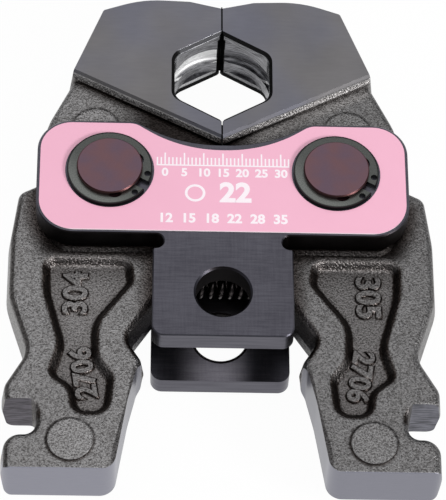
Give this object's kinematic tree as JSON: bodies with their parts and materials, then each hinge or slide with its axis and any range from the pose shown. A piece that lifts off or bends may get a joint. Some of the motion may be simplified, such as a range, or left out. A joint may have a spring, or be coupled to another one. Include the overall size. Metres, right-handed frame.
{
  "type": "press fitting tool jaw",
  "caption": "Steel press jaw for crimping pipe fittings: forged arms with a hexagonal opening rock on pins between T-shaped side plates with a locking-pin bore.",
  "frame": {"origin": "centre of the locking-pin bore, half way between the two side plates", "axes": "+Z along the locking-pin bore, out of the labelled front plate; +Y towards the pressing head; +X towards the right arm seen from the front"},
  "size_m": [0.1108, 0.1427, 0.0344],
  "materials": {
    "forged_steel": "shot-blasted forging with a fine dark grain, milled faces smoother and bluish",
    "plate_steel": "dark burnished, ground faces",
    "pin_steel": "hardened, brownish dark, smooth",
    "ring_steel": "phosphated spring steel, grey-green",
    "spring_steel": "bright drawn wire",
    "label_foil": "satin pink foil"
  },
  "bodies": {
    "frame": {"front_side_plate": "plate_steel", "rear_side_plate": "plate_steel", "left_bearing_pin": "pin_steel", "right_bearing_pin": "pin_steel", "front_left_retaining_ring": "ring_steel", "front_right_retaining_ring": "ring_steel", "rear_left_retaining_ring": "ring_steel", "rear_right_retaining_ring": "ring_steel", "jaw_spring": "spring_steel", "front_label": "label_foil"},
    "left_arm": {"left_jaw_arm": "forged_steel"},
    "right_arm": {"right_jaw_arm": "forged_steel"}
  },
  "joints": [
    {"name": "left_arm_pivot", "type": "hinge", "parent": "frame", "child": "left_arm", "pos_m": [-0.0293, 0.0361, 0], "axis": [0, 0, 1], "range_deg": [0, 13], "stiffness_Nm_per_rad": 1.5, "springref_deg": -17.19, "deforming": ["jaw_spring"]},
    {"name": "right_arm_pivot", "type": "hinge", "parent": "frame", "child": "right_arm", "pos_m": [0.0293, 0.0361, 0], "axis": [0, 0, -1], "range_deg": [0, 13], "stiffness_Nm_per_rad": 1.5, "springref_deg": -17.19, "deforming": ["jaw_spring"]}
  ]
}
